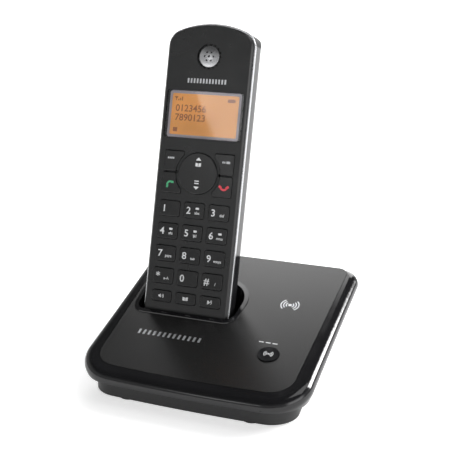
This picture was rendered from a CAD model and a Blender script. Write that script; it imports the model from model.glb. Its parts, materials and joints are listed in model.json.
"""Finished surfaces, display and prints of a cordless telephone that stands in its charging base.

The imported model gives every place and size. Handset places are (u, v, w): u to the right, v up from
the handset's foot and w out of its face. Deck places are (x, s, w): s up the slope from the front edge.
"""

import json
from math import cos, pi, radians, sin

import bmesh
import bpy
from bpy.props import FloatProperty, FloatVectorProperty, IntProperty, PointerProperty
from mathutils import Matrix, Vector


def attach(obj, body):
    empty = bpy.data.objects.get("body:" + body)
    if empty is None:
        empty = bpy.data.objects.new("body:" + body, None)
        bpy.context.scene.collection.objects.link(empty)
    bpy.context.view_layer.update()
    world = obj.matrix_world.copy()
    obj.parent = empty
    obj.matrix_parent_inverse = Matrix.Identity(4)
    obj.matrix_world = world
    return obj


bl_info = {
    "name": "Cordless Telephone",
    "version": (1, 0, 0),
    "blender": (4, 5, 0),
    "location": "View3D > Sidebar > Telephone",
    "description": "Gives a cordless telephone its finishes, display, legends and small fittings",
    "category": "Object",
}

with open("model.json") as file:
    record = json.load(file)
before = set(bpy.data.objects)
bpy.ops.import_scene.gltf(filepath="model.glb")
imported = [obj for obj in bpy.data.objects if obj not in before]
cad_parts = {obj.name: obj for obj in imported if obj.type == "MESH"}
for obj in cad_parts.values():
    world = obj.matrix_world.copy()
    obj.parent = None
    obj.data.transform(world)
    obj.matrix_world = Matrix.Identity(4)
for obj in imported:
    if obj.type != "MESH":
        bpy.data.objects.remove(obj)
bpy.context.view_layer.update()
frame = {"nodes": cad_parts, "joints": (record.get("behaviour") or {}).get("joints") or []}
NODES = frame["nodes"]
MM = 0.001

DIGIT_KEYS = {
    "key_1": ("1", ""),
    "key_2": ("2", "abc"),
    "key_3": ("3", "def"),
    "key_4": ("4", "ghi"),
    "key_5": ("5", "jkl"),
    "key_6": ("6", "mno"),
    "key_7": ("7", "pqrs"),
    "key_8": ("8", "tuv"),
    "key_9": ("9", "wxyz"),
    "key_star": ("*", "a-A"),
    "key_0": ("0", ""),
    "key_hash": ("#", "/"),
}
SMALL_KEYS = ("key_speaker", "key_phonebook", "key_mute")
SIGNED_KEYS = ("key_2", "key_4", "key_5", "key_6")
WING_KEYS = ("key_menu", "key_talk", "key_clear", "key_end")
# the room dims from the horizon to overhead between these rises of a unit direction
HORIZON_BAND = (0.3, 0.7)
# the front card lies on the side of the plane that this direction points to
SLANT = (0.834, -0.157, 0.528)


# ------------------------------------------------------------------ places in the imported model
def joint_axis(name):
    """Direction of a joint's travel."""
    joint = next(j for j in frame["joints"] if j["name"] == name)
    return Vector(joint["axis"]).normalized()


def reach(node, direction):
    """Lowest and highest place of a node along a direction."""
    places = [direction.dot(vertex.co) for vertex in NODES[node].data.vertices]
    return min(places), max(places)


RIGHT = Vector((1, 0, 0))
UP = joint_axis("handset_lift")
OUT = -joint_axis("battery_door_off")
DECK_NORMAL = -joint_axis("page_button_press")
DECK_UP = DECK_NORMAL.cross(RIGHT)


def frame_of(right, up, out, origin):
    """Matrix that puts a piece made flat on XY onto a face of the object."""
    turn = Matrix((right, up, out)).transposed().to_4x4()
    return Matrix.Translation(origin) @ turn


HANDSET_U = sum(reach("handset_front_shell", RIGHT)) / 2
HANDSET_V = reach("handset_trim_band", UP)[0]
FACE_W = reach("handset_front_shell", OUT)[1]
FACE = frame_of(RIGHT, UP, OUT, RIGHT * HANDSET_U + UP * HANDSET_V + OUT * FACE_W)

DECK_S = reach("base_upper_shell", DECK_UP)[0]
DECK_W = reach("deck_plate", DECK_NORMAL)[1]
DECK = frame_of(RIGHT, DECK_UP, DECK_NORMAL, DECK_UP * DECK_S + DECK_NORMAL * DECK_W)


class Patch:
    """Middle, size and top of a node's cap, in the handset's or the deck's own directions."""

    def __init__(self, node, place):
        inverse = place.inverted()
        points = [inverse @ vertex.co for vertex in NODES[node].data.vertices]
        top = max(p.z for p in points)
        # a key's flange is wider than its cap, so the cap alone is measured
        cap = [p for p in points if p.z > top - 0.5 * MM]
        xs = [p.x for p in cap]
        ys = [p.y for p in cap]
        self.x = (min(xs) + max(xs)) / 2
        self.y = (min(ys) + max(ys)) / 2
        self.width = max(xs) - min(xs)
        self.height = max(ys) - min(ys)
        self.top = top

    def spot(self, shift=(0.0, 0.0)):
        """Place on the cap, with a shift from its middle in millimetres."""
        return (self.x + shift[0] * MM, self.y + shift[1] * MM, self.top)


# ------------------------------------------------------------------ settings
def colour_property(name, description, default):
    """Setting that holds a colour."""
    return FloatVectorProperty(
        name=name, description=description, default=default, subtype="COLOR", min=0, max=1
    )


def size_property(name, description, default_mm):
    """Setting that holds a length, given in millimetres."""
    return FloatProperty(name=name, description=description, default=default_mm * MM, unit="LENGTH")


def angle_property(name, description, default):
    """Setting that holds an angle, given in degrees."""
    return FloatProperty(name=name, description=description, default=radians(default), subtype="ANGLE")


class StudioSettings(bpy.types.PropertyGroup):
    """Camera, floor and lights."""

    azimuth: angle_property("Azimuth", "Camera turn round the object", 20.94)
    elevation: angle_property("Elevation", "Camera above the horizon", 17.07)
    distance: FloatProperty(
        name="Distance", description="Camera to the target", default=0.4438, unit="LENGTH"
    )
    lens: FloatProperty(name="Lens", description="Focal length on a 36 mm sensor, in mm", default=71.57)
    target: FloatVectorProperty(
        name="Target",
        description="Point that the camera looks at",
        default=(0.0014, 0, 0.0782),
        subtype="XYZ",
        unit="LENGTH",
    )
    floor_colour: colour_property("Floor", "Colour of the floor", (0.8, 0.8, 0.8))
    floor_glow: FloatProperty(name="Floor Glow", description="Light that the lit floor gives", default=0.62)
    horizon: FloatProperty(name="Horizon", description="Brightness near the horizon", default=0.5)
    zenith: FloatProperty(name="Zenith", description="Brightness overhead", default=0.09)
    rear_card: FloatProperty(name="Rear Card", description="Brightness of the card behind", default=4.2)
    shoulder_card: FloatProperty(
        name="Shoulder Card", description="Brightness of the card behind on the right", default=24.0
    )
    side_card: FloatProperty(name="Side Card", description="Brightness of the card beside", default=2.4)
    front_card: FloatProperty(name="Front Card", description="Brightness of the card in front", default=2.0)
    key_light: FloatProperty(
        name="Key Light", description="Brightness of the soft light overhead", default=2.0
    )


class FinishSettings(bpy.types.PropertyGroup):
    """Colours of the finishes."""

    gloss_black: colour_property("Gloss Black", "Polished housings", (0.006, 0.006, 0.0068))
    face_black: colour_property("Face Black", "Satin face of the handset", (0.0065, 0.007, 0.0073))
    silver: colour_property("Silver", "Band and badge", (0.6, 0.605, 0.62))
    legend: colour_property("Legend", "Print on the keys", (0.78, 0.79, 0.8))
    talk: colour_property("Talk", "Print on the talk key", (0.06, 0.33, 0.16))
    end: colour_property("End", "Print on the end key", (0.62, 0.06, 0.08))
    amber: colour_property("Amber", "Backlit display", (0.78, 0.33, 0.07))
    segment: colour_property("Segment", "Dark parts of the display", (0.4, 0.12, 0.03))


class LegendSettings(bpy.types.PropertyGroup):
    """Sizes of the prints and the small fittings."""

    digit_height: size_property("Digit", "Height of a digit", 3.7)
    letter_height: size_property("Letters", "Height of the small letters", 1.5)
    thickness: size_property("Thickness", "Thickness of the print", 0.02)
    lift: size_property("Lift", "Print above the surface", 0.006)
    sheet_width: size_property("Sheet Width", "Width of the lit part of the display", 37.0)
    sheet_height: size_property("Sheet Height", "Height of the lit part of the display", 21.4)
    bar_count: IntProperty(
        name="Bars", description="Bars in the row printed on the face and the deck", default=13, min=3
    )
    bar_pitch: size_property("Bar Pitch", "From one bar to the next", 1.7)
    bar_width: size_property("Bar Width", "Width of a printed bar", 0.9)
    face_bar_height: size_property("Face Bars", "Height of the bars on the face", 2.4)
    deck_bar_height: size_property("Deck Bars", "Height of the bars on the deck", 3.4)
    badge_holes: IntProperty(name="Badge Holes", description="Holes in the badge's ring", default=6, min=3)
    badge_ring: size_property("Badge Ring", "Radius of the badge's ring of holes", 2.3)
    badge_hole: size_property("Badge Hole", "Radius of a hole in the badge", 0.55)
    rib_count: IntProperty(name="Ribs", description="Grip ribs on the battery door", default=6, min=2)
    rib_pitch: size_property("Rib Pitch", "From one grip rib to the next", 1.8)


# ------------------------------------------------------------------ mesh helpers
def link(name, mesh, body, material):
    """Put a finished mesh in the scene as a piece that moves with a body."""
    piece = bpy.data.objects.new(name, mesh)
    bpy.context.scene.collection.objects.link(piece)
    if material is not None:
        mesh.materials.clear()
        mesh.materials.append(material)
    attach(piece, body)
    return piece


def prism(outline, low, high):
    """Closed mesh of a flat outline drawn up from low to high."""
    form = bmesh.new()
    foot = [form.verts.new((x, y, low)) for x, y in outline]
    top = [form.verts.new((x, y, high)) for x, y in outline]
    form.faces.new(list(reversed(foot)))
    form.faces.new(top)
    for i in range(len(outline)):
        j = (i + 1) % len(outline)
        form.faces.new((foot[i], foot[j], top[j], top[i]))
    return form


def joined(forms, name):
    """One mesh from several bmesh forms."""
    mesh = bpy.data.meshes.new(name)
    whole = bmesh.new()
    for form in forms:
        part = bpy.data.meshes.new("part")
        form.to_mesh(part)
        form.free()
        whole.from_mesh(part)
        bpy.data.meshes.remove(part)
    bmesh.ops.recalc_face_normals(whole, faces=whole.faces)
    whole.to_mesh(mesh)
    whole.free()
    return mesh


def arc(radius, start, end, steps, centre=(0, 0)):
    """Points along an arc, angles in degrees."""
    points = []
    for i in range(steps + 1):
        angle = radians(start + (end - start) * i / steps)
        points.append((centre[0] + radius * cos(angle), centre[1] + radius * sin(angle)))
    return points


def rounded_rectangle(width, height, corner, steps=6):
    """Outline of a rounded rectangle about the origin."""
    points = []
    for quarter, (sx, sy) in enumerate(((1, 1), (-1, 1), (-1, -1), (1, -1))):
        centre = (sx * (width / 2 - corner), sy * (height / 2 - corner))
        points += arc(corner, 90 * quarter, 90 * quarter + 90, steps, centre)
    return points


def shifted(outline, x, y):
    """An outline moved by (x, y)."""
    return [(px + x, py + y) for px, py in outline]


def arc_band(inner, outer, start, end, steps=20):
    """Outline of a ring's sector."""
    return arc(outer, start, end, steps) + list(reversed(arc(inner, start, end, steps)))


def lettering(text, height, thickness, align="CENTER", weight=0.02):
    """Flat mesh of a few characters on its base line, thickened by weight times the height."""
    curve = bpy.data.curves.new("lettering", "FONT")
    curve.body = text
    # a capital of the built-in typeface is about 0.73 of the size high
    curve.size = height / 0.73
    curve.align_x = align
    curve.offset = weight * height
    curve.extrude = thickness / 2
    curve.resolution_u = 4
    holder = bpy.data.objects.new("lettering", curve)
    bpy.context.scene.collection.objects.link(holder)
    seen = holder.evaluated_get(bpy.context.evaluated_depsgraph_get())
    mesh = bpy.data.meshes.new_from_object(seen)
    bpy.data.objects.remove(holder)
    bpy.data.curves.remove(curve)
    mesh.transform(Matrix.Translation((0, 0, thickness / 2)))
    return mesh


def gather(meshes, name):
    """One mesh from several, which are then removed."""
    whole = bmesh.new()
    for mesh in meshes:
        whole.from_mesh(mesh)
        bpy.data.meshes.remove(mesh)
    joined_mesh = bpy.data.meshes.new(name)
    whole.to_mesh(joined_mesh)
    whole.free()
    return joined_mesh


def print_of(name, outlines, place, spot, body, finish):
    """Thin raised print of flat outlines, given in millimetres about a spot of a face."""
    legend = bpy.context.scene.telephone_legend
    forms = []
    for outline in outlines:
        forms.append(prism([(x * MM, y * MM) for x, y in outline], 0.0, legend.thickness))
    mesh = joined(forms, name)
    mesh.transform(place @ Matrix.Translation((spot[0], spot[1], spot[2] + legend.lift)))
    return link(name, mesh, body, finish_of(finish))


def text_of(name, text, height, place, spot, body, finish):
    """Thin raised print of a few characters, which start at a spot of a face."""
    legend = bpy.context.scene.telephone_legend
    mesh = lettering(text, height, legend.thickness, align="LEFT")
    mesh.transform(place @ Matrix.Translation((spot[0], spot[1] - height / 2, spot[2] + legend.lift)))
    return link(name, mesh, body, finish_of(finish))


def turned(outline, degrees):
    """An outline turned about the origin."""
    c, s = cos(radians(degrees)), sin(radians(degrees))
    return [(c * x - s * y, s * x + c * y) for x, y in outline]


def receiver(size, degrees):
    """Telephone receiver: a bowed grip with an ear cup and a mouth cup."""
    outlines = [arc_band(0.55 * size, 0.98 * size, 25, 155)]
    for side in (-1, 1):
        cup = turned(rounded_rectangle(0.72 * size, 0.5 * size, 0.12 * size, 3), -side * 35)
        outlines.append(shifted(cup, side * 0.78 * size, 0.2 * size))
    return [turned(shifted(outline, 0, -0.5 * size), degrees) for outline in outlines]


def loudspeaker():
    """Loudspeaker with two waves."""
    cone = [(-1.5, -0.45), (-0.9, -0.45), (-0.2, -1.1), (-0.2, 1.1), (-0.9, 0.45), (-1.5, 0.45)]
    return [cone, arc_band(0.55, 0.85, -45, 45, 8), arc_band(1.2, 1.5, -45, 45, 8)]


def open_book():
    """Open book with a spine."""
    left = [(-1.5, -0.8), (-0.15, -1.0), (-0.15, 0.8), (-1.5, 1.0)]
    return [left, [(-x, y) for x, y in left]]


def muted():
    """Capsule with a stroke across it."""
    stroke = turned(rounded_rectangle(3.2, 0.3, 0.12, 3), 45)
    return [shifted(rounded_rectangle(1.0, 1.9, 0.48), -0.9, 0), arc_band(0.9, 1.15, -70, 70, 8), stroke]


def triangle(size, way):
    """Arrowhead that points up or down."""
    return [(-size, -0.45 * size * way), (size, -0.45 * size * way), (0, 0.65 * size * way)]


def wave_mark(size):
    """Dot with rings of waves on both sides."""
    outlines = [arc(0.2 * size, 0, 345, 23)]
    for step in (0.45, 0.72, 1.0):
        for middle in (0, 180):
            outlines.append(arc_band((step - 0.12) * size, step * size, middle - 50, middle + 50, 12))
    return outlines


# ------------------------------------------------------------------ repeated pieces
def repeat_tree(name, ring):
    """Geometry nodes that set blocks in a row, or round studs in a ring."""
    tree = bpy.data.node_groups.new(name, "GeometryNodeTree")
    inputs = [("Geometry", "NodeSocketGeometry"), ("Count", "NodeSocketInt"), ("Spacing", "NodeSocketFloat")]
    inputs += [("Size", "NodeSocketVector"), ("Finish", "NodeSocketMaterial")]
    for label, kind in inputs:
        tree.interface.new_socket(name=label, in_out="INPUT", socket_type=kind)
    tree.interface.new_socket(name="Geometry", in_out="OUTPUT", socket_type="NodeSocketGeometry")
    given = tree.nodes.new("NodeGroupInput")
    result = tree.nodes.new("NodeGroupOutput")
    spread = tree.nodes.new("GeometryNodeInstanceOnPoints")
    real = tree.nodes.new("GeometryNodeRealizeInstances")
    finish = tree.nodes.new("GeometryNodeSetMaterial")
    split = tree.nodes.new("ShaderNodeSeparateXYZ")
    links = tree.links
    links.new(given.outputs["Size"], split.inputs[0])
    if ring:
        points = tree.nodes.new("GeometryNodeMeshCircle")
        piece = tree.nodes.new("GeometryNodeMeshCylinder")
        piece.inputs["Vertices"].default_value = 24
        links.new(given.outputs["Count"], points.inputs["Vertices"])
        links.new(given.outputs["Spacing"], points.inputs["Radius"])
        links.new(split.outputs["X"], piece.inputs["Radius"])
        links.new(split.outputs["Z"], piece.inputs["Depth"])
    else:
        points = tree.nodes.new("GeometryNodeMeshLine")
        piece = tree.nodes.new("GeometryNodeMeshCube")
        offset = tree.nodes.new("ShaderNodeCombineXYZ")
        links.new(given.outputs["Spacing"], offset.inputs["X"])
        links.new(given.outputs["Count"], points.inputs["Count"])
        links.new(offset.outputs[0], points.inputs["Offset"])
        links.new(given.outputs["Size"], piece.inputs["Size"])
    links.new(points.outputs["Mesh"], spread.inputs["Points"])
    links.new(piece.outputs["Mesh"], spread.inputs["Instance"])
    links.new(spread.outputs["Instances"], real.inputs["Geometry"])
    links.new(real.outputs["Geometry"], finish.inputs["Geometry"])
    links.new(given.outputs["Finish"], finish.inputs["Material"])
    links.new(finish.outputs["Geometry"], result.inputs["Geometry"])
    return tree


def repeated(name, ring, place, body, slot, finish, **values):
    """A piece grown from the repeat nodes, then turned into a plain mesh on a face of the object."""
    label = "Ring Of Studs" if ring else "Row Of Blocks"
    tree = bpy.data.node_groups.get(label) or repeat_tree(label, ring)
    holder = bpy.data.objects.new(name, bpy.data.meshes.new("holder"))
    bpy.context.scene.collection.objects.link(holder)
    grow = holder.modifiers.new("repeat", "NODES")
    grow.node_group = tree
    values["Finish"] = finish_of(finish)
    for item in tree.interface.items_tree:
        if item.in_out == "INPUT" and item.name in values:
            grow[item.identifier] = values[item.name]
    holder.update_tag()
    seen = holder.evaluated_get(bpy.context.evaluated_depsgraph_get())
    mesh = bpy.data.meshes.new_from_object(seen)
    bpy.data.objects.remove(holder)
    if not mesh.polygons:
        raise RuntimeError(f"{name} has no geometry")
    mesh.name = name
    if not ring:
        # the row starts at its first block: bring its middle to the spot
        mesh.transform(Matrix.Translation((-(values["Count"] - 1) * values["Spacing"] / 2, 0, 0)))
    mesh.transform(place)
    return link(name, mesh, body, None)


# ------------------------------------------------------------------ materials
def new_group(name, inputs, outputs):
    """Empty shader group with named sockets, and its two end nodes."""
    group = bpy.data.node_groups.new(name, "ShaderNodeTree")
    for label, default in inputs:
        socket = group.interface.new_socket(name=label, in_out="INPUT", socket_type="NodeSocketFloat")
        socket.default_value = default
    for label in outputs:
        group.interface.new_socket(name=label, in_out="OUTPUT", socket_type="NodeSocketFloat")
    return group, group.nodes.new("NodeGroupInput"), group.nodes.new("NodeGroupOutput")


def moulding_group():
    """Spark-eroded grain, slow waviness of a moulded wall and faint handling marks."""
    group, given, result = new_group(
        "Moulded Surface",
        (("Grain Scale", 4000.0), ("Wave Scale", 60.0), ("Mark Scale", 90.0)),
        ("Grain", "Wave", "Marks"),
    )
    place = group.nodes.new("ShaderNodeTexCoord")
    layers = (("Grain Scale", "Grain", 2.0), ("Wave Scale", "Wave", 1.0), ("Mark Scale", "Marks", 4.0))
    for source, target, detail in layers:
        noise = group.nodes.new("ShaderNodeTexNoise")
        noise.inputs["Detail"].default_value = detail
        group.links.new(place.outputs["Object"], noise.inputs["Vector"])
        group.links.new(given.outputs[source], noise.inputs["Scale"])
        group.links.new(noise.outputs["Fac"], result.inputs[target])
    return group


def principled(name, colour, roughness, **values):
    """A material with a Principled surface, and that surface's node."""
    material = bpy.data.materials.new(name)
    material.use_nodes = True
    surface = material.node_tree.nodes["Principled BSDF"]
    surface.inputs["Base Color"].default_value = (*colour, 1)
    surface.inputs["Roughness"].default_value = roughness
    for label, value in values.items():
        surface.inputs[label.replace("_", " ")].default_value = value
    return material, surface


def moulded(name, colour, roughness, grain=0.0, wave=0.0, marks=0.04, grain_scale=4000.0, **values):
    """Moulded surface: roughness that varies with handling; grain and waviness of its relief in metres."""
    material, surface = principled(name, colour, roughness, **values)
    nodes = material.node_tree.nodes
    links = material.node_tree.links
    look = nodes.new("ShaderNodeGroup")
    look.node_tree = bpy.data.node_groups.get("Moulded Surface") or moulding_group()
    look.inputs["Grain Scale"].default_value = grain_scale
    spread = nodes.new("ShaderNodeMapRange")
    spread.inputs["From Min"].default_value = 0.3
    spread.inputs["From Max"].default_value = 0.7
    spread.inputs["To Min"].default_value = roughness - marks
    spread.inputs["To Max"].default_value = roughness + marks
    links.new(look.outputs["Marks"], spread.inputs["Value"])
    links.new(spread.outputs["Result"], surface.inputs["Roughness"])
    tint = nodes.new("ShaderNodeMapRange")
    tint.data_type = "FLOAT_VECTOR"
    tint.inputs[9].default_value = [c * 0.88 for c in colour]
    tint.inputs[10].default_value = [c * 1.12 for c in colour]
    links.new(look.outputs["Wave"], tint.inputs["Vector"])
    links.new(tint.outputs["Vector"], surface.inputs["Base Color"])
    normal = None
    for label, depth in (("Grain", grain), ("Wave", wave)):
        if depth > 0:
            bump = nodes.new("ShaderNodeBump")
            bump.inputs["Distance"].default_value = depth
            links.new(look.outputs[label], bump.inputs["Height"])
            if normal is not None:
                links.new(normal.outputs["Normal"], bump.inputs["Normal"])
            normal = bump
    if normal is not None:
        links.new(normal.outputs["Normal"], surface.inputs["Normal"])
    return material


def finish_of(name):
    """A finish by name, made the first time that it is asked for."""
    made = bpy.data.materials.get(name)
    return made or FINISHES[name](name)


def polished_black(name):
    colour = bpy.context.scene.telephone_finish.gloss_black
    return moulded(name, [c * 1.5 for c in colour], 0.1, wave=0.00001, marks=0.02)


def deck_black(name):
    colour = bpy.context.scene.telephone_finish.gloss_black
    return moulded(name, [c * 0.8 for c in colour], 0.07, wave=0.000006, marks=0.015)


def satin_face(name):
    colour = bpy.context.scene.telephone_finish.face_black
    return moulded(name, colour, 0.3, grain=0.000004, marks=0.04)


def key_black(name):
    colour = bpy.context.scene.telephone_finish.face_black
    return moulded(name, [c * 0.75 for c in colour], 0.22, grain=0.000002, marks=0.04)


def spark_black(name):
    return moulded(name, (0.006, 0.006, 0.0065), 0.5, grain=0.00002, marks=0.05, grain_scale=2200.0)


def rubber_black(name):
    return moulded(name, (0.012, 0.012, 0.012), 0.75, grain=0.00002, marks=0.05, grain_scale=1500.0)


def mat_grey(name):
    return moulded(name, (0.3, 0.31, 0.32), 0.55, grain=0.00001, marks=0.04)


def milky_guide(name):
    return moulded(name, (0.75, 0.76, 0.75), 0.3, marks=0.03, Subsurface_Weight=0.2)


def cell_green(name):
    return moulded(name, (0.03, 0.19, 0.11), 0.3, marks=0.05)


def board_green(name):
    return moulded(name, (0.008, 0.085, 0.03), 0.35, grain=0.00002, marks=0.08, grain_scale=900.0)


def silver_band(name):
    colour = bpy.context.scene.telephone_finish.silver
    return moulded(name, colour, 0.24, grain=0.000003, marks=0.05, grain_scale=6000.0, Metallic=1.0)


def zinc(name):
    return moulded(name, (0.5, 0.5, 0.51), 0.32, grain=0.000006, marks=0.08, Metallic=1.0)


def gold_plate(name):
    return moulded(name, (0.83, 0.6, 0.28), 0.22, grain=0.000003, marks=0.06, Metallic=1.0)


def white_print(name):
    colour = bpy.context.scene.telephone_finish.legend
    return moulded(name, colour, 0.45, grain=0.000004, marks=0.06)


def glowing(name, colour, roughness, glow):
    """Printed colour lit from behind."""
    light = {"Emission_Color": (*colour, 1), "Emission_Strength": glow}
    return moulded(name, colour, roughness, grain=0.000004, marks=0.05, **light)


def green_print(name):
    colour = bpy.context.scene.telephone_finish.talk
    return glowing(name, colour, 0.45, 0.3)


def red_print(name):
    colour = bpy.context.scene.telephone_finish.end
    return glowing(name, colour, 0.45, 0.2)


def silver_print(name):
    return moulded(name, (0.6, 0.61, 0.63), 0.35, grain=0.000004, marks=0.06, Metallic=0.6)


def amber_display(name):
    colour = bpy.context.scene.telephone_finish.amber
    return glowing(name, colour, 0.4, 0.35)


def segment_dark(name):
    colour = bpy.context.scene.telephone_finish.segment
    return glowing(name, colour, 0.4, 0.2)


def bezel_grey(name):
    return moulded(name, (0.55, 0.51, 0.57), 0.35, grain=0.000004, marks=0.05)


def clear_pane(name):
    return moulded(name, (0.95, 0.96, 0.97), 0.03, marks=0.01, Transmission_Weight=1.0, IOR=1.49)


FINISHES = {
    "polished_black": polished_black,
    "deck_black": deck_black,
    "satin_face": satin_face,
    "key_black": key_black,
    "spark_black": spark_black,
    "rubber_black": rubber_black,
    "mat_grey": mat_grey,
    "milky_guide": milky_guide,
    "cell_green": cell_green,
    "board_green": board_green,
    "silver_band": silver_band,
    "zinc": zinc,
    "gold_plate": gold_plate,
    "white_print": white_print,
    "green_print": green_print,
    "red_print": red_print,
    "silver_print": silver_print,
    "amber_display": amber_display,
    "segment_dark": segment_dark,
    "bezel_grey": bezel_grey,
    "clear_pane": clear_pane,
}


def paint(finish, *nodes):
    """Give CAD nodes a finish."""
    for node in nodes:
        mesh = NODES[node].data
        mesh.materials.clear()
        mesh.materials.append(finish_of(finish))


# ------------------------------------------------------------------ operators
class TELEPHONE_OT_housings(bpy.types.Operator):
    """Finish the shells, boards, cells and fittings"""

    bl_idname = "telephone.housings"
    bl_label = "Housings"

    def execute(self, context):
        paint("polished_black", "base_upper_shell", "cradle_cup", "page_button")
        paint("polished_black", "handset_rear_shell", "battery_door")
        paint("deck_black", "deck_plate")
        paint("satin_face", "handset_front_shell")
        paint("silver_band", "handset_trim_band", "earpiece_badge")
        paint("spark_black", "base_bottom_cover", "line_socket", "power_socket", "contact_carrier")
        paint("spark_black", "page_switch", "battery_tray", "earpiece_speaker", "ringer_speaker")
        paint("rubber_black", "rubber_feet")
        paint("mat_grey", "keypad_mat")
        paint("milky_guide", "lcd_light_guide")
        paint("cell_green", "battery_cell_left", "battery_cell_right")
        paint("board_green", "handset_circuit_board", "base_circuit_board")
        paint("zinc", "radio_shield", "microphone", "battery_contacts", "handset_screws", "base_screws")
        paint("gold_plate", "handset_charge_pads", "handset_antenna", "base_antenna")
        paint("gold_plate", "base_contact_left", "base_contact_right")
        paint("clear_pane", "display_window")
        paint("amber_display", "lcd_module")
        return {"FINISHED"}


class TELEPHONE_OT_keys(bpy.types.Operator):
    """Finish the keys and print the digits, letters and signs"""

    bl_idname = "telephone.keys"
    bl_label = "Keys"

    def execute(self, context):
        legend = context.scene.telephone_legend
        paint("key_black", *DIGIT_KEYS, *SMALL_KEYS, *WING_KEYS, "key_navigation")
        for key, (digit, letters) in DIGIT_KEYS.items():
            self.digit_key(legend, key, digit, letters)
        for key, sign in zip(SMALL_KEYS, (loudspeaker(), open_book(), muted())):
            self.signs(key, sign, "white_print")
        self.wings()
        self.navigation()
        return {"FINISHED"}

    def digit_key(self, legend, key, digit, letters):
        """Digit at the left of a cap, and letters with a small sign above them at the right."""
        patch = Patch(key, FACE)
        digit_x = -0.26 * patch.width
        letters_x = 0.17 * patch.width
        base_line = -legend.digit_height / 2
        meshes = [lettering(digit, legend.digit_height, legend.thickness)]
        meshes[0].transform(Matrix.Translation((digit_x, base_line, 0)))
        if letters:
            small = lettering(letters, legend.letter_height, legend.thickness)
            small.transform(Matrix.Translation((letters_x, base_line, 0)))
            meshes.append(small)
        if key in SIGNED_KEYS:
            outline = [(x * MM, y * MM) for x, y in rounded_rectangle(1.9, 1.1, 0.4, 3)]
            sign = joined([prism(outline, 0, legend.thickness)], "sign")
            sign.transform(Matrix.Translation((letters_x, 0.3 * legend.digit_height, 0)))
            meshes.append(sign)
        mesh = gather(meshes, f"{key}_print")
        mesh.transform(FACE @ Matrix.Translation((patch.x, patch.y, patch.top + legend.lift)))
        link(f"{key}_print", mesh, key, finish_of("white_print"))

    def signs(self, key, outlines, finish, shift=(0, 0)):
        """Sign in the middle of a cap."""
        spot = Patch(key, FACE).spot(shift)
        print_of(f"{key}_print", outlines, FACE, spot, key, finish)

    def wings(self):
        """Menu and clear at the top of the navigation keys, talk and end below."""
        dashes = [shifted(rounded_rectangle(0.7, 1.0, 0.2, 3), 0.95 * i, 0) for i in (-1.5, -0.5, 0.5, 1.5)]
        self.signs("key_menu", dashes, "silver_print", (-1.6, 1.4))
        self.signs("key_talk", receiver(2.2, 40), "green_print", (-1.4, -0.4))
        self.signs("key_end", receiver(2.5, 180), "red_print", (1.2, -0.8))
        block = [shifted(rounded_rectangle(2.0, 1.3, 0.3, 3), 1.0, 0)]
        block += [shifted(rounded_rectangle(0.6, 1.0, 0.2, 3), x, 0) for x in (-1.9, -0.9)]
        self.signs("key_clear", block, "silver_print", (1.4, 1.2))

    def navigation(self):
        """Arrowheads at the top and the bottom of the disc, each beside a small sign."""
        rim = 7.4
        step_in = 2.9
        outlines = [shifted(triangle(1.5, 1), 0, rim), shifted(triangle(1.5, -1), 0, -rim)]
        outlines += [shifted(outline, 0, rim - step_in) for outline in open_book()]
        dash = rounded_rectangle(2.4, 0.6, 0.25, 3)
        outlines += [shifted(dash, 0, step_in - rim + 0.6 * side) for side in (-1, 1)]
        self.signs("key_navigation", outlines, "white_print")


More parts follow.
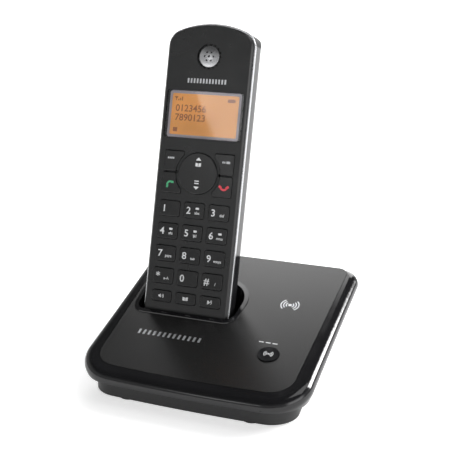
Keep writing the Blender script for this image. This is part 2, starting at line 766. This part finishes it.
class TELEPHONE_OT_display(bpy.types.Operator):
    """Build the frame round the display and the figures shown on it"""

    bl_idname = "telephone.display"
    bl_label = "Display"

    def execute(self, context):
        pane = Patch("display_window", FACE)
        sheet = Patch("lcd_module", FACE)
        legend = context.scene.telephone_legend
        sheet.width, sheet.height = legend.sheet_width, legend.sheet_height
        pale_ring = 1.3 * MM
        overlap = 0.5 * MM
        wide, tall = sheet.width + 2 * pale_ring, sheet.height + 2 * pale_ring
        outside = rounded_rectangle(pane.width + overlap, pane.height + overlap, 1.6 * MM, 6)
        between = rounded_rectangle(wide, tall, 1.2 * MM, 6)
        inside = rounded_rectangle(sheet.width, sheet.height, 0.8 * MM, 6)
        self.mask("display_border", pane, sheet.top, outside, between, "satin_face")
        self.mask("display_surround", pane, sheet.top, between, inside, "bezel_grey")
        self.figures(sheet)
        return {"FINISHED"}

    def mask(self, name, pane, level, outside, inside, finish):
        """Flat mask behind the pane, between two outlines."""
        low, high = level + 0.02 * MM, level + 0.14 * MM
        form = bmesh.new()
        rings = []
        for outline, height in ((outside, low), (outside, high), (inside, high), (inside, low)):
            rings.append([form.verts.new((x, y, height)) for x, y in outline])
        count = len(outside)
        for ring, following in zip(rings, rings[1:] + rings[:1]):
            for i in range(count):
                j = (i + 1) % count
                form.faces.new((ring[i], ring[j], following[j], following[i]))
        mesh = joined([form], name)
        mesh.transform(FACE @ Matrix.Translation((pane.x, pane.y, 0)))
        link(name, mesh, "handset", finish_of(finish))

    def figures(self, sheet):
        """Signal, charge and message signs, and two rows of made-up figures."""
        left = sheet.x - sheet.width / 2
        top = sheet.y + sheet.height / 2
        level = sheet.top + 0.01 * MM
        mast = rounded_rectangle(0.35, 2.2, 0.1, 3)
        signs = [shifted(triangle(1.1, -1), 2.2, -2.2), shifted(mast, 2.2, -2.6)]
        for step, bar_height in enumerate((0.8, 1.4, 2.0)):
            bar = rounded_rectangle(0.5, bar_height, 0.1, 3)
            signs.append(shifted(bar, 3.6 + step, -3.7 + bar_height / 2))
        width = sheet.width / MM
        height = sheet.height / MM
        cell = rounded_rectangle(4.0, 1.8, 0.3, 3)
        cell_tip = rounded_rectangle(0.4, 0.9, 0.1, 3)
        message = rounded_rectangle(2.4, 2.2, 0.3, 3)
        signs += [shifted(cell, width - 4.2, -2.6), shifted(cell_tip, width - 1.9, -2.6)]
        signs += [shifted(message, 3.0, -height + 2.6)]
        print_of("display_signs", signs, FACE, (left, top, level), "handset", "segment_dark")
        figure_height = 3.6 * MM
        for row, (text, drop) in enumerate((("0123456", 7.4), ("7890123", 12.2))):
            spot = (left + 2.2 * MM, top - drop * MM, level)
            name = f"display_row_{row + 1}"
            text_of(name, text, figure_height, FACE, spot, "handset", "segment_dark")


class TELEPHONE_OT_marks(bpy.types.Operator):
    """Print the plain marks on the face and the deck, and the sign of the page button"""

    bl_idname = "telephone.marks"
    bl_label = "Marks"

    def execute(self, context):
        legend = context.scene.telephone_legend
        self.bars(legend)
        self.deck_signs(legend)
        self.badge(legend)
        return {"FINISHED"}

    def bars(self, legend):
        """A row of upright bars between the display and the badge, and another at the front of the deck."""
        above_middle = 2.4 * MM
        face_v = (Patch("display_window", FACE).y + Patch("earpiece_badge", FACE).y) / 2 + above_middle
        lift = legend.lift + legend.thickness / 2
        rows = (
            ("face_bars", "handset", FACE, (0, face_v), 1.0, 1.0, legend.face_bar_height),
            ("deck_bars", "base", DECK, (-20.5 * MM, 37.0 * MM), 1.3, 1.6, legend.deck_bar_height),
        )
        for name, body, place, (x, y), widening, spreading, height in rows:
            spot = place @ Matrix.Translation((x, y, lift))
            size = Vector((legend.bar_width * widening, height, legend.thickness))
            spacing = legend.bar_pitch * spreading
            values = {"Size": size, "Count": legend.bar_count, "Spacing": spacing}
            repeated(name, False, spot, body, "silver_trim", "silver_print", **values)

    def deck_signs(self, legend):
        """Round mark and page label on the deck, and the waves on the page button."""
        page = Patch("page_button", DECK)
        mark_x, mark_rise = -1.2 * MM, 40.0 * MM
        label_x, label_rise = -2.8 * MM, 8.4 * MM
        spot = (page.x + mark_x, page.y + mark_rise, 0)
        print_of("deck_round_mark", wave_mark(5.0), DECK, spot, "base", "silver_print")
        dash = rounded_rectangle(2.6, 0.7, 0.3, 3)
        label = [shifted(dash, x, 0) for x in (-3.5, 0.0, 3.5)]
        spot = (page.x + label_x, page.y + label_rise, 0)
        print_of("page_label", label, DECK, spot, "base", "white_print")
        sign = wave_mark(2.4)
        print_of("page_button_print", sign, DECK, page.spot(), "page_button", "white_print")

    def badge(self, legend):
        """Ring of round holes and one in the middle of the badge's dome."""
        badge = Patch("earpiece_badge", FACE)
        stud_height = 0.5 * MM
        sink = 0.36 * MM
        ring_place = FACE @ Matrix.Translation((badge.x, badge.y, badge.top - sink))
        values = {"Size": Vector((legend.badge_hole, 0, stud_height)), "Count": legend.badge_holes}
        values["Spacing"] = legend.badge_ring
        repeated("badge_holes", True, ring_place, "handset", "dark_plastic", "spark_black", **values)
        radius = legend.badge_hole / MM
        middle = [rounded_rectangle(2.1 * radius, 2.1 * radius, radius, 8)]
        spot = badge.spot()
        print_of("badge_middle_hole", middle, FACE, spot, "handset", "spark_black")


class TELEPHONE_OT_rear_fittings(bpy.types.Operator):
    """Build the grip ribs of the battery door and the pins in the sockets"""

    bl_idname = "telephone.rear_fittings"
    bl_label = "Rear Fittings"

    def execute(self, context):
        legend = context.scene.telephone_legend
        self.ribs(legend)
        self.pins()
        return {"FINISHED"}

    def ribs(self, legend):
        """Ribs across the top of the battery door, just proud of it."""
        below_top = 9.0 * MM
        half_reach = 6.0 * MM
        sink = 0.1 * MM
        inverse = FACE.inverted()
        points = [inverse @ vertex.co for vertex in NODES["battery_door"].data.vertices]
        middle_x = (max(p.x for p in points) + min(p.x for p in points)) / 2
        middle_y = max(p.y for p in points) - below_top
        back = min(p.z for p in points if abs(p.x - middle_x) < half_reach)
        turn = Matrix.Rotation(pi / 2, 4, "Z")
        place = FACE @ Matrix.Translation((middle_x, middle_y, back + sink)) @ turn
        size = Vector((0.7 * MM, 12.0 * MM, 0.7 * MM))
        values = {"Size": size, "Count": legend.rib_count, "Spacing": legend.rib_pitch}
        repeated("battery_door_ribs", False, place, "battery_door", "gloss_black", "spark_black", **values)

    def pins(self):
        """Sprung wires of the line socket and the blades of the power socket."""
        length = 7.0 * MM
        from_rear = 6.2 * MM
        above_middle = 0.4 * MM
        # number, pitch, width and height of the pins, in millimetres
        sets = (("line_socket", 4, 1.02, 0.35, 0.35), ("power_socket", 2, 3.2, 0.6, 2.6))
        for node, count, pitch, across, tall in sets:
            low_x, high_x = reach(node, RIGHT)
            low_z, high_z = reach(node, Vector((0, 0, 1)))
            rear = reach(node, Vector((0, 1, 0)))[1]
            spot = ((low_x + high_x) / 2, rear - from_rear, (low_z + high_z) / 2 + above_middle)
            size = Vector((across * MM, length, tall * MM))
            values = {"Size": size, "Count": count, "Spacing": pitch * MM}
            place = Matrix.Translation(spot)
            repeated(f"{node}_pins", False, place, "base", "contact_metal", "gold_plate", **values)


class TELEPHONE_OT_studio(bpy.types.Operator):
    """Set up the floor, the room, the soft lights and the camera"""

    bl_idname = "telephone.studio"
    bl_label = "Studio"

    def execute(self, context):
        studio = context.scene.telephone_studio
        self.floor(studio)
        self.room(context.scene, studio)
        self.camera(context.scene, studio)
        self.soft_light("key_light", (0.7, 0.3, 1.5), Vector((0, 0, 0.05)), 0.9, 0.9, studio.key_light)
        context.scene.view_settings.view_transform = "Standard"
        return {"FINISHED"}

    def floor(self, studio):
        """Pale paper floor, bright as far as the horizon."""
        form = bmesh.new()
        half = 40.0
        corners = ((-half, -half), (half, -half), (half, half), (-half, half))
        form.faces.new([form.verts.new((x, y, 0)) for x, y in corners])
        mesh = bpy.data.meshes.new("floor")
        form.to_mesh(mesh)
        form.free()
        floor = bpy.data.objects.new("floor", mesh)
        bpy.context.scene.collection.objects.link(floor)
        paper, surface = principled("floor_paper", studio.floor_colour, 0.8)
        surface.inputs["Emission Color"].default_value = (1, 1, 1, 1)
        surface.inputs["Emission Strength"].default_value = studio.floor_glow
        surface.inputs["Specular IOR Level"].default_value = 0.2
        grain = paper.node_tree.nodes.new("ShaderNodeTexNoise")
        place = paper.node_tree.nodes.new("ShaderNodeTexCoord")
        bump = paper.node_tree.nodes.new("ShaderNodeBump")
        grain.inputs["Scale"].default_value = 900.0
        bump.inputs["Distance"].default_value = 0.00002
        paper.node_tree.links.new(place.outputs["Object"], grain.inputs["Vector"])
        paper.node_tree.links.new(grain.outputs["Fac"], bump.inputs["Height"])
        paper.node_tree.links.new(bump.outputs["Normal"], surface.inputs["Normal"])
        mesh.materials.append(paper)

    def room(self, scene, studio):
        """A pale room, darker overhead, with soft cards behind, beside and in front of the object."""
        world = bpy.data.worlds.new("room")
        scene.world = world
        world.use_nodes = True
        nodes = world.node_tree.nodes
        links = world.node_tree.links
        place = nodes.new("ShaderNodeTexCoord")
        split = nodes.new("ShaderNodeSeparateXYZ")
        links.new(place.outputs["Generated"], split.inputs[0])
        height = nodes.new("ShaderNodeMath")
        height.operation = "ARCSINE"
        links.new(split.outputs["Z"], height.inputs[0])
        turn = nodes.new("ShaderNodeMath")
        turn.operation = "ARCTAN2"
        links.new(split.outputs["X"], turn.inputs[0])
        links.new(split.outputs["Y"], turn.inputs[1])
        fade = nodes.new("ShaderNodeMapRange")
        fade.interpolation_type = "SMOOTHSTEP"
        fade.inputs["From Min"].default_value = HORIZON_BAND[0]
        fade.inputs["From Max"].default_value = HORIZON_BAND[1]
        fade.inputs["To Min"].default_value = studio.horizon
        fade.inputs["To Max"].default_value = studio.zenith
        links.new(split.outputs["Z"], fade.inputs["Value"])
        total = fade.outputs["Result"]
        # lowest and highest, leftmost and rightmost, and the fades at the sides and at the top, in degrees
        cards = (
            (studio.rear_card, (6, 52, -38, 14, 8, 3)),
            (studio.shoulder_card, (12, 46, 40, 62, 5, 8)),
            (studio.side_card, (-4, 34, 80, 135, 14, 14)),
        )
        for radiance, edges in cards:
            total = self.card(nodes, links, height.outputs[0], turn.outputs[0], total, radiance, edges)
        total = self.slanted_card(nodes, links, place, height.outputs[0], turn.outputs[0], total, studio)
        links.new(total, nodes["Background"].inputs["Strength"])
        nodes["Background"].inputs["Color"].default_value = (1, 1, 1, 1)

    def card(self, nodes, links, height, turn, total, radiance, edges, mask=None):
        """Add a soft-edged card to the room's brightness."""
        low, high, left, right, side_fade, top_fade = [radians(edge) for edge in edges]
        shares = [] if mask is None else [mask]
        for source, start, end in (
            (height, low, low + side_fade),
            (height, high, high - top_fade),
            (turn, left, left + side_fade),
            (turn, right, right - side_fade),
        ):
            ease = nodes.new("ShaderNodeMapRange")
            ease.interpolation_type = "SMOOTHSTEP"
            ease.inputs["From Min"].default_value = start
            ease.inputs["From Max"].default_value = end
            links.new(source, ease.inputs["Value"])
            shares.append(ease.outputs["Result"])
        product = shares[0]
        for share in shares[1:]:
            step = nodes.new("ShaderNodeMath")
            step.operation = "MULTIPLY"
            links.new(product, step.inputs[0])
            links.new(share, step.inputs[1])
            product = step.outputs[0]
        result = nodes.new("ShaderNodeMath")
        result.operation = "MULTIPLY_ADD"
        result.inputs[1].default_value = radiance
        links.new(product, result.inputs[0])
        links.new(total, result.inputs[2])
        return result.outputs[0]

    def slanted_card(self, nodes, links, place, height, turn, total, studio):
        """Small card in front on the left, whose slanted edge shows in the display's pane."""
        side = nodes.new("ShaderNodeVectorMath")
        side.operation = "DOT_PRODUCT"
        side.inputs[1].default_value = SLANT
        links.new(place.outputs["Generated"], side.inputs[0])
        edge = nodes.new("ShaderNodeMapRange")
        edge.interpolation_type = "SMOOTHSTEP"
        edge.inputs["From Max"].default_value = 0.004
        links.new(side.outputs["Value"], edge.inputs["Value"])
        edges = (13, 25, -168, -152, 2, 2)
        mask = edge.outputs["Result"]
        return self.card(nodes, links, height, turn, total, studio.front_card, edges, mask)

    def soft_light(self, name, place, target, width, height, radiance):
        """A rectangular soft light that the camera doesn't see."""
        light = bpy.data.lights.new(name, "AREA")
        light.shape = "RECTANGLE"
        light.size = width
        light.size_y = height
        light.energy = radiance * pi * width * height
        lamp = bpy.data.objects.new(name, light)
        bpy.context.scene.collection.objects.link(lamp)
        lamp.location = place
        lamp.rotation_euler = (target - Vector(place)).to_track_quat("-Z", "Y").to_euler()
        lamp.visible_camera = False

    def camera(self, scene, studio):
        """Camera at its angle and distance round the target."""
        data = bpy.data.cameras.new("camera")
        data.lens = studio.lens
        camera = bpy.data.objects.new("camera", data)
        scene.collection.objects.link(camera)
        flat = cos(studio.elevation)
        across = sin(studio.azimuth) * flat
        back = Vector((across, -cos(studio.azimuth) * flat, sin(studio.elevation)))
        camera.location = Vector(studio.target) + back * studio.distance
        camera.rotation_euler = (-back).to_track_quat("-Z", "Y").to_euler()
        scene.camera = camera


class TELEPHONE_PT_panel(bpy.types.Panel):
    """Settings and steps of the telephone"""

    bl_label = "Telephone"
    bl_space_type = "VIEW_3D"
    bl_region_type = "UI"
    bl_category = "Telephone"

    def draw(self, context):
        layout = self.layout
        for name in SETTINGS:
            settings = getattr(context.scene, name)
            box = layout.box()
            for setting in settings.__annotations__:
                box.prop(settings, setting)
        for step in STEPS:
            layout.operator(step.bl_idname)


STEPS = (
    TELEPHONE_OT_housings,
    TELEPHONE_OT_keys,
    TELEPHONE_OT_display,
    TELEPHONE_OT_marks,
    TELEPHONE_OT_rear_fittings,
    TELEPHONE_OT_studio,
)
SETTINGS = {
    "telephone_studio": StudioSettings,
    "telephone_finish": FinishSettings,
    "telephone_legend": LegendSettings,
}


def register():
    for group in SETTINGS.values():
        bpy.utils.register_class(group)
    for name, group in SETTINGS.items():
        setattr(bpy.types.Scene, name, PointerProperty(type=group))
    for step in STEPS:
        bpy.utils.register_class(step)
    bpy.utils.register_class(TELEPHONE_PT_panel)


def unregister():
    bpy.utils.unregister_class(TELEPHONE_PT_panel)
    for step in reversed(STEPS):
        bpy.utils.unregister_class(step)
    for name, group in SETTINGS.items():
        delattr(bpy.types.Scene, name)
        bpy.utils.unregister_class(group)


def main():
    """Register the add-on, run every step and note the sizes."""
    register()
    for step in STEPS:
        group, action = step.bl_idname.split(".")
        getattr(getattr(bpy.ops, group), action)()


if __name__ == "__main__":
    main()
